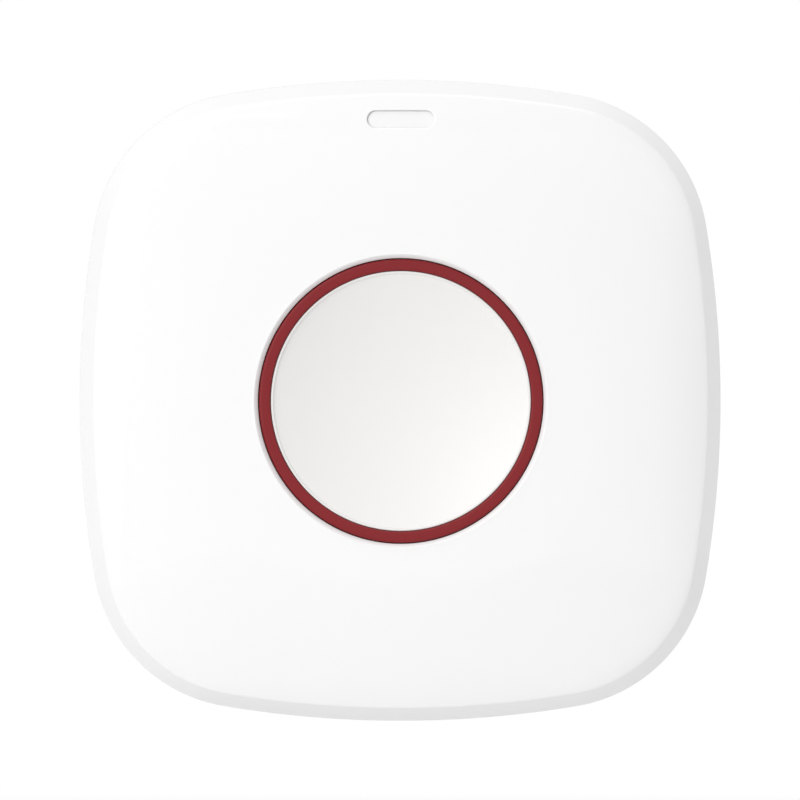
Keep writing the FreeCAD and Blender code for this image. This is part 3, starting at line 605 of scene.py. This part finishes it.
ceiling_inset, ceiling_level = 14, face_top - 2.35
slope_inset, inner_foot_level = 3.85, dome_height(0) - 2.0
wall_top = inner_foot_level - 0.5
lining = [(ceiling_inset, ceiling_level), (slope_inset, inner_foot_level)]
lining += [(wall_inset, wall_top), (wall_inset, cover_foot)]
print("shoulder", round(shoulder_level, 2), "rim", round(rim_level, 2), "ceiling", round(ceiling_level, 2))

# %% [markdown]
# ## The front cover
# One ring after another is extruded along that section: over the face, into the button's hole and down its
# collar, and then back along the inside. The last ring is bridged to the first, so the cover is a closed wall,
# as a moulded one is.

# %% Extrude the front cover ring by ring
dome_rings = 36
collar_middle, collar_foot = 15, 11.5
collar_radius = 15.2
collar = [(hole_radius, collar_middle), (hole_radius, collar_foot)]
collar += [(collar_radius, collar_foot), (collar_radius, ceiling_level)]
cover = bmesh.new()
edges = first_ring(cover, case_ring(section[0][0]), section[0][1])
opening = edges
for inset, height in section[1:]:
    edges = next_ring(cover, edges, case_ring(inset), height)
for step in range(dome_rings + 1):
    share = mouth_share * step / dome_rings
    edges = next_ring(cover, edges, face_ring(share), dome_height(share))
for radius, height in mouth[1:] + collar:
    edges = next_ring(cover, edges, round_ring(radius), height)
for inset, height in lining:
    edges = next_ring(cover, edges, case_ring(inset), height)
bmesh.ops.bridge_loops(cover, edges=edges + opening)
bmesh.ops.recalc_face_normals(cover, faces=cover.faces[:])
print("front cover rings:", len(cover.verts) // ring_points, "open edges:", sum(e.is_boundary for e in cover.edges))

# %% [markdown]
# ## Stacks of rounded boxes
# The slot, its window and the recesses in the back are all rounded boxes, and a round hole is one whose flat
# stretches have next to no length. Each is a stack of such outlines. A section gives its half length, half
# height and corner, and a function that says how high each of its points lies, so it can follow the face.

# %% Stack rounded boxes
box_points = 96


def on_box(direction, half_length, half_height, corner):
    """Where a point of the unit circle goes on a rounded box."""
    x = math.copysign(half_length - corner, direction.x) + corner * direction.x
    y = math.copysign(half_height - corner, direction.y) + corner * direction.y
    return x, y


def box_stack(sections, x, y):
    """A closed solid through sections of (half length, half height, corner, level)."""
    form = bmesh.new()
    bmesh.ops.create_circle(form, cap_ends=True, segments=box_points, radius=1)
    rotate_form(form, math.pi / box_points, "Z")
    edges = form.edges[:]
    for _ in sections[1:]:
        corners, edges = grow(form, edges)
        bmesh.ops.translate(form, verts=list(corners), vec=Vector((0, 0, 1)))
    bmesh.ops.contextual_create(form, geom=edges)
    for point in form.verts:
        half_length, half_height, corner, level = sections[round(point.co.z)]
        box_x, box_y = on_box(point.co, half_length, half_height, corner)
        point.co = Vector((x + box_x, y + box_y, level(x + box_x, y + box_y)))
    bmesh.ops.recalc_face_normals(form, faces=form.faces[:])
    return form


def at(level):
    """The same level everywhere."""
    return lambda x, y: level


def off(surface, rise):
    """A level that follows a surface, at a distance."""
    return lambda x, y: surface(x, y) + rise


print("points in a box outline:", box_points)

# %% [markdown]
# ## Openings with soft mouths
# The edges of the slot and of the holes are slightly rounded. Bevelling after a cut is fragile on a curved face.
# Instead, the cutter itself flares at its mouth, in a small arc that ends level with the face, so the cut leaves
# a rounded edge behind.

# %% Make flared cutters
flare_steps = 6
sliver = 0.001


def flared_cutter(half_length, half_height, corner, x, y, floor, surface, mouth, over=1.0):
    """A solid that cuts down to a floor, and rounds the mouth where it meets a surface."""
    sections = [(half_length, half_height, corner, at(floor))]
    for step in range(flare_steps + 1):
        turn = step / flare_steps * math.pi / 2
        wider = mouth * (1 - math.cos(turn))
        level = off(surface, mouth * (math.sin(turn) - 1))
        sections.append((half_length + wider, half_height + wider, corner + wider, level))
    sections.append((half_length + mouth, half_height + mouth, corner + mouth, off(surface, over)))
    return box_stack(sections, x, y)


def round_cutter(radius, x, y, floor, surface, mouth, over=1.0):
    """A flared cutter for a round hole."""
    return flared_cutter(radius, radius, radius - sliver, x, y, floor, surface, mouth, over)


print("steps in a flare:", flare_steps)

# %% [markdown]
# ## Cutting with a passing modifier
# A bmesh has no operator that takes one solid out of another, but the Boolean modifier does it. The form and its
# cutters become passing objects, one modifier per cutter is evaluated, and the result goes back into a bmesh.

# %% Make the carving helper


def stand_in(form):
    """A passing object for a form, so that a modifier can use it."""
    mesh = bpy.data.meshes.new("passing")
    form.to_mesh(mesh)
    form.free()
    holder = bpy.data.objects.new("passing", mesh)
    bpy.context.scene.collection.objects.link(holder)
    return holder


def carved(form, cutters):
    """The form with every cutter taken out of it, one Boolean modifier for each."""
    blank = stand_in(form)
    tools = [stand_in(cutter) for cutter in cutters]
    for tool in tools:
        cut = blank.modifiers.new("cut", "BOOLEAN")
        cut.operation = "DIFFERENCE"
        cut.solver = "EXACT"
        cut.object = tool
    bpy.context.view_layer.update()
    shown = blank.evaluated_get(bpy.context.evaluated_depsgraph_get())
    result = bmesh.new()
    result.from_mesh(shown.to_mesh())
    shown.to_mesh_clear()
    for holder in [blank] + tools:
        bpy.data.meshes.remove(holder.data)
    print("carved with", len(tools), "cutters:", len(result.faces), "faces")
    return result


# %% [markdown]
# ## Cut the front cover's slot and screw hole
# The slot follows the slope of the face, because its cutter asks for the height of the face at each of its
# corners. The screw's hole goes in through the bottom edge: a counterbore for the head, then a clearance hole
# for the shank. Both cutters are made standing up and are then turned to come in through that edge.

# %% Cut the cover and hang it
slot_centre = half_width - 3.99
slot_length, slot_height = 6.4, 1.65
slot_mouth = 0.14
slot_floor = ceiling_level - 4
slot = flared_cutter(
    slot_length / 2, slot_height / 2, slot_height / 2 - sliver, 0, slot_centre, slot_floor, height_at, slot_mouth
)
screw_height = 5.6
side_reach = half_width - side_draft * (screw_height - cover_foot) / side_height
head_radius, head_floor, head_mouth = 2.05, half_width - 1.15, 0.15
shank_radius, shank_floor, shank_top = 1.1, half_width - 4, half_width - 1.1
counterbore = round_cutter(head_radius, 0, screw_height, head_floor, at(side_reach), head_mouth)
clearance = round_cutter(shank_radius, 0, screw_height, shank_floor, at(shank_top), mouth=0.01, over=0.0)
for cutter in (counterbore, clearance):
    rotate_form(cutter, math.pi / 2, "X")
cover = carved(cover, [slot, counterbore, clearance])
make_piece(cover, "domed_cover", "white_case", "housing", "front_cover")

# %% [markdown]
# ## The window in the slot
# The light guide is one frosted moulding: a foot that gathers the lamp's light, a flange that rests behind the
# face, and the window, which follows the face a little below it. It lies against the slot's lower right, as a
# loose window settles, so its clearance and the slot's shadow show along the top and the left end only.

# %% Make the light guide
guide_foot = levels("light_guide")[0]
guide_seat = inner_foot_level - 1.0
flange_low = guide_seat - 0.8
flange_half_long, flange_half_tall = 3.9, 1.17
window_recess = 0.3
window_clearance = 0.014
window_settle = 0.011
half_long, half_tall = slot_length / 2 - window_clearance, slot_height / 2 - window_clearance
foot_box, bar_box = (1.0, 0.62, 0.2), (2.37, 0.82, 0.2)
flange_box = (flange_half_long, flange_half_tall, flange_half_tall - sliver)
window_box = (half_long, half_tall, half_tall - sliver)
guide = [(*foot_box, at(guide_foot)), (*bar_box, at(flange_low))]
guide += [(*flange_box, at(flange_low)), (*flange_box, at(guide_seat)), (*window_box, at(guide_seat))]
window_edge = [(0, 0.02), (0.006, 0.006), (0.02, 0)]
window_rings = [(0.3, 0), (0.55, 0), (half_tall - 0.02, 0)]
for inset, drop in window_edge + window_rings:
    level = off(height_at, -window_recess - drop)
    guide.append((half_long - inset, half_tall - inset, half_tall - inset - sliver, level))
window = box_stack(guide, window_settle, slot_centre - window_settle)
make_piece(window, "slot_window", "frosted_window", "housing", "light_guide")

# %% [markdown]
# ## The rear cover
# The plate that stays on the wall: a flat back with a broken edge, a groove all round where the two covers meet,
# and a tongue that stands up inside the front cover. It is the same kind of ring stack, closed by a flat floor
# and a flat back.

# %% Extrude the rear cover
flange_inset = half_width - span("rear_cover", 0)[1]
flange_top, flange_round = 2.6, 0.2
back_break, back_round = 0.5, 0.3
groove_inset, groove_top = 1.2, 3.0
tongue_outside, tongue_inside, tongue_top = 2.15, 3.35, 6.4
plate_top = 2.0
on_back = (flange_inset + back_break, 0)
on_side = (flange_inset, back_break)
on_flange = (flange_inset, flange_top)
plate = rounded((tongue_inside, 0), on_back, on_side, back_round, steps=4)
plate += rounded(on_back, on_side, on_flange, back_round, steps=4)
plate += rounded(on_side, on_flange, (tongue_inside, flange_top), flange_round, steps=4)
plate += [(groove_inset, flange_top), (groove_inset, groove_top), (tongue_outside, groove_top)]
plate += [(tongue_outside, tongue_top), (tongue_inside, tongue_top), (tongue_inside, plate_top)]
rear = bmesh.new()
edges = first_ring(rear, case_ring(plate[0][0]), plate[0][1])
bmesh.ops.contextual_create(rear, geom=edges)
for inset, height in plate[1:]:
    edges = next_ring(rear, edges, case_ring(inset), height)
bmesh.ops.contextual_create(rear, geom=edges)
bmesh.ops.recalc_face_normals(rear, faces=rear.faces[:])
print("rear cover rings:", len(rear.verts) // ring_points, "open edges:", sum(e.is_boundary for e in rear.edges))

# %% [markdown]
# ## The back of the rear cover
# The back has two shallow recesses for adhesive strips, and between them two holes for screws into the wall.
# Their cutters stand up like the slot's and are then turned over, so that they cut in from behind.

# %% Cut the rear cover and hang it
back_mouth = 0.15
strip_half_length, strip_half_width, strip_corner = 17, 4.5, 1.5
strip_from_middle, strip_depth = 14.5, 0.5
wall_screw_radius, wall_screw_from_middle, wall_screw_depth = 2.1, 20, 2.5
strip = (strip_half_length, strip_half_width, strip_corner)
cutters = []
for side in (-1, 1):
    cutters.append(flared_cutter(*strip, 0, strip_from_middle * side, -strip_depth, at(0), back_mouth))
    hole_x = wall_screw_from_middle * side
    cutters.append(round_cutter(wall_screw_radius, hole_x, 0, -wall_screw_depth, at(0), back_mouth))
for cutter in cutters:
    rotate_form(cutter, math.pi, "X")
make_piece(carved(rear, cutters), "wall_plate", "white_matt", "housing", "rear_cover")

# %% [markdown]
# ## Round pieces
# The button's pieces and the rubber dome are round. Stacked cylinders would leave hidden faces where they meet.
# So each piece is drawn as a section beside the button's axis and spun about it once, which gives one closed
# skin.

# %% Spin a section
weld_distance = 0.0001


def spun(section, steps=256):
    """A closed round form from points (radius, height)."""
    form = bmesh.new()
    points = [form.verts.new((radius, 0, height)) for radius, height in section]
    lines = [form.edges.new(pair) for pair in zip(points, points[1:])]
    if section[0][0] > 0:
        lines.append(form.edges.new((points[-1], points[0])))
    outline = points + lines
    axis = Vector((0, 0, 1))
    bmesh.ops.spin(form, geom=outline, cent=Vector(), axis=axis, angle=2 * math.pi, steps=steps, use_merge=True)
    bmesh.ops.remove_doubles(form, verts=form.verts[:], dist=weld_distance)
    bmesh.ops.recalc_face_normals(form, faces=form.faces[:])
    print("spun", len(section), "points in", steps, "steps")
    return form


# %% [markdown]
# ## The carrier
# The red moulding that slides in the hole. It is red right through, and only its rounded top edge shows, as the
# ring. Under its floor a short boss stands over the plunger of the switch, and its skirt runs down in the
# collar.

# %% Make the carrier
skirt_foot = levels("button_carrier")[0]
button_radius = 13.6
ring_inner = 12.5
ring_outer_round, ring_inner_round = 0.26, 0.2
boss_radius, boss_foot = 2.2, 14.05
carrier_under = 14.85
cap_under = 15.4
ring = [(0, boss_foot), (boss_radius, boss_foot), (boss_radius, carrier_under)]
ring += [(ring_inner, carrier_under), (ring_inner, skirt_foot), (button_radius, skirt_foot)]
ring += rounded((button_radius, 0), (button_radius, ring_top), (0, ring_top), ring_outer_round)
ring += rounded((button_radius, ring_top), (ring_inner, ring_top), (ring_inner, 0), ring_inner_round)
ring += [(ring_inner, cap_under), (0, cap_under)]
make_piece(spun(ring), "red_carrier", "red_ring", "button", "button_carrier")

# %% [markdown]
# ## The cap
# The white cap lies in the carrier. Its top is a dish, a shallow part of a sphere, so that a finger finds the
# middle in the dark. A fine crest runs round the dish and catches the light, and it leaves only a hair of
# clearance to the ring.

# %% Make the cap
cap_radius = 12.45
crest = cap_rim + 0.15
crest_flat = 0.2
crest_round, brow_round = 0.06, 0.04
dish_edge = crest - 0.22
dish_reach = cap_radius - 0.3
dish_depth = 2.25
dish_floor = dish_edge - dish_depth
dish_rings = 32
ball = (dish_reach**2 + dish_depth**2) / (2 * dish_depth)
dish = []
for step in range(dish_rings + 1):
    radius = dish_reach * (1 - step / dish_rings)
    dish.append((radius, dish_floor + ball - math.sqrt(ball**2 - radius**2)))
brow = (cap_radius - crest_flat, crest)
cap = [(0, cap_under), (cap_radius, cap_under)]
cap += rounded((cap_radius, cap_under), (cap_radius, crest), (0, crest), crest_round, steps=3)
cap += rounded((cap_radius, crest), brow, (dish_reach, dish_edge), brow_round, steps=3)
cap += dish
make_piece(spun(cap), "finger_dish", "white_cap", "button", "button_cap")

# %% [markdown]
# ## The return spring
# The spring is squashed when the button goes in, and a rigid CAD piece can't follow that. A curve with a round
# bevel would draw it too. Here the wire's section is spun and lifted a little at each step.

# %% Coil the return spring
spring_foot, spring_top = levels("return_spring")
wire_radius = 0.25
wire_points = 20
coil_radius = 5.7
coil_turns = 3.5
coil_steps = 224
rise = spring_top - spring_foot - 2 * wire_radius
spring = bmesh.new()
bmesh.ops.create_circle(spring, cap_ends=True, segments=wire_points, radius=wire_radius)
rotate_form(spring, math.pi / 2, "X")
bmesh.ops.translate(spring, verts=spring.verts[:], vec=Vector((coil_radius, 0, spring_foot + wire_radius)))
coiled = bmesh.ops.spin(
    spring,
    geom=spring.edges[:],
    cent=Vector(),
    axis=Vector((0, 0, 1)),
    dvec=Vector((0, 0, rise / coil_steps)),
    angle=2 * math.pi * coil_turns,
    steps=coil_steps,
)
wire_end = [part for part in coiled["geom_last"] if isinstance(part, bmesh.types.BMEdge)]
bmesh.ops.contextual_create(spring, geom=wire_end)
bmesh.ops.recalc_face_normals(spring, faces=spring.faces[:])
coil = make_piece(spring, "coil_spring", "spring_steel", "housing", "return_spring")
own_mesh(coil)

# %% [markdown]
# ## The rubber dome
# The dome under the switch's plunger gives the click, and it collapses with the plunger. It is a thin section,
# spun.

# %% Make the rubber dome
dome_low, dome_high = levels("rubber_dome")
dome_wall = 0.35
crown_radius, crown_edge = 1.0, (1.25, dome_high - 0.12)
shelf, crown_under = dome_low + dome_wall, dome_high - dome_wall
lip_radius, foot_outside, foot_inside = 2.3, 1.9, 1.7
dome = [(0, dome_high), (crown_radius, dome_high), crown_edge, (foot_outside, shelf)]
dome += [(lip_radius, shelf), (lip_radius, dome_low), (foot_inside, dome_low)]
dome += [(crown_radius, crown_under), (0, crown_under)]
click = make_piece(spun(dome, steps=64), "click_dome", "dark_rubber", "housing", "rubber_dome")
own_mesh(click)

# %% [markdown]
# ## Camera
# The photograph looks almost straight at the face, and both sides of the band are equally wide, so the camera is
# far off with a long lens, a third of a degree to the left and above. The case is 640 of the 800 pixels wide,
# which gives the width of the view where the case is widest, at the foot of the front cover.

# %% Place the camera
distance = 1.5
to_the_left, up = 0.0075, 0.0094
photo_pixels = 800
case_pixels = 640.6
view_width = 2 * half_width * mm * photo_pixels / case_pixels
lens = bpy.data.cameras.new("front")
lens.sensor_width = 36
lens.lens = lens.sensor_width * distance / view_width
lens.clip_end = 10
camera = bpy.data.objects.new("front", lens)
aim = Vector((0, -cover_foot * mm, 0))
camera.location = aim + Vector((-to_the_left, -distance, up))
camera.rotation_euler = (camera.location - aim).to_track_quat("Z", "Y").to_euler()
bpy.context.scene.collection.objects.link(camera)
bpy.context.scene.camera = camera
print("lens", round(lens.lens), "mm, view", round(view_width / mm, 1), "mm wide")

# %% [markdown]
# ## The white world
# White plastic on a white ground shows only by small differences of light. A plain grey-white world fills all
# sides and lights every dull surface. The camera, mirrors and glass see a pure white one instead.

# %% Light the world
fill_level = 0.525
seen_level = 1.0
world = bpy.data.worlds.new("studio")
world.use_nodes = True
bpy.context.scene.world = world
tree = world.node_tree
ground = tree.nodes["Background"]
ground.inputs["Color"].default_value = (1, 1, 1, 1)
path = add(tree, "ShaderNodeLightPath")
seen = add(tree, "ShaderNodeMath", operation="MAXIMUM")
clear = add(tree, "ShaderNodeMath", operation="MAXIMUM")
level = add(tree, "ShaderNodeMix", data_type="FLOAT")
level.inputs["A"].default_value = fill_level
level.inputs["B"].default_value = seen_level
tree.links.new(path.outputs["Is Camera Ray"], seen.inputs[0])
tree.links.new(path.outputs["Is Glossy Ray"], seen.inputs[1])
tree.links.new(seen.outputs[0], clear.inputs[0])
tree.links.new(path.outputs["Is Transmission Ray"], clear.inputs[1])
tree.links.new(clear.outputs[0], level.inputs["Factor"])
tree.links.new(level.outputs["Result"], ground.inputs["Strength"])
print("world: fill", fill_level, "and seen", seen_level)

# %% [markdown]
# ## Lamps
# The key panel hangs at the upper left and makes the right and lower slopes a little darker. It is wide and
# rolled, so the glossy face mirrors it as a faint crescent along the upper left. A weak panel in front lifts the
# whole face, one overhead the top of the band, and one behind the right side the right of it. Each line gives the
# degrees from the button's axis, the degrees round it from the right, the panel's width and height in metres,
# and its watts.

# %% Hang the lamps
lamp_distance = 0.9


def softbox(name, off_axis, turn, width, height, watts):
    """A panel some degrees from the button's axis, and turned some degrees round it."""
    lean, turn = math.radians(off_axis), math.radians(turn)
    outward = Vector((math.sin(lean) * math.cos(turn), -math.cos(lean), math.sin(lean) * math.sin(turn)))
    across = Vector((-math.sin(turn), 0, math.cos(turn)))
    light = bpy.data.lights.new(name, "AREA")
    light.shape = "RECTANGLE"
    light.size = width
    light.size_y = height
    light.energy = watts
    lamp = bpy.data.objects.new(name, light)
    lamp.matrix_world = Matrix((across, outward.cross(across), outward)).transposed().to_4x4()
    lamp.location = outward * lamp_distance
    bpy.context.scene.collection.objects.link(lamp)


softbox("key panel", 42, 147, 0.9, 0.55, 3.7)
softbox("front panel", 0, 90, 0.9, 0.9, 0.6)
softbox("top panel", 80, 90, 0.6, 0.6, 1.7)
softbox("rim panel", 104, 25, 0.6, 0.3, 0.9)

# %% [markdown]
# ## The floor
# A round pale floor lies below the view and keeps the object's shadow. For the camera it fades into the white of
# the world towards its edge, so no edge shows from any side. The fade is on Object coordinates, so it stays put
# when the camera moves.

# %% Lay the floor
floor_drop = 0.014
floor_radius = 0.24
floor_points = 96
fade_start, fade_end = 0.45, 0.95
floor_form = bmesh.new()
bmesh.ops.create_circle(floor_form, cap_ends=True, segments=floor_points, radius=floor_radius)
bmesh.ops.translate(floor_form, verts=floor_form.verts[:], vec=Vector((0, 0, -half_width * mm - floor_drop)))
floor_mesh = bpy.data.meshes.new("floor")
floor_form.to_mesh(floor_mesh)
floor_form.free()
floor = bpy.data.objects.new("floor", floor_mesh)
bpy.context.scene.collection.objects.link(floor)
pale = bpy.data.materials.new("pale floor")
pale.use_nodes = True
tree = pale.node_tree
shader = tree.nodes["Principled BSDF"]
shader.inputs["Base Color"].default_value = (0.9, 0.9, 0.9, 1)
shader.inputs["Roughness"].default_value = 0.7
place = add(tree, "ShaderNodeTexCoord")
reach = add(tree, "ShaderNodeVectorMath", operation="LENGTH")
fade = add(tree, "ShaderNodeMapRange", interpolation_type="SMOOTHSTEP")
fade.inputs["From Min"].default_value = floor_radius * fade_start
fade.inputs["From Max"].default_value = floor_radius * fade_end
path = add(tree, "ShaderNodeLightPath")
only_seen = add(tree, "ShaderNodeMath", operation="MULTIPLY")
white = add(tree, "ShaderNodeEmission")
blend = add(tree, "ShaderNodeMixShader")
tree.links.new(place.outputs["Object"], reach.inputs[0])
tree.links.new(reach.outputs["Value"], fade.inputs["Value"])
tree.links.new(fade.outputs["Result"], only_seen.inputs[0])
tree.links.new(path.outputs["Is Camera Ray"], only_seen.inputs[1])
tree.links.new(only_seen.outputs[0], blend.inputs["Fac"])
tree.links.new(shader.outputs["BSDF"], blend.inputs[1])
tree.links.new(white.outputs["Emission"], blend.inputs[2])
tree.links.new(blend.outputs["Shader"], tree.nodes["Material Output"].inputs["Surface"])
floor_mesh.materials.append(pale)
print("floor at", round(-half_width - floor_drop / mm, 1), "mm")

# %% [markdown]
# ## Colours as written
# The Standard view transform shows a surface's colour as it is, without a film curve.

# %% Set the view
bpy.context.scene.view_settings.view_transform = "Standard"
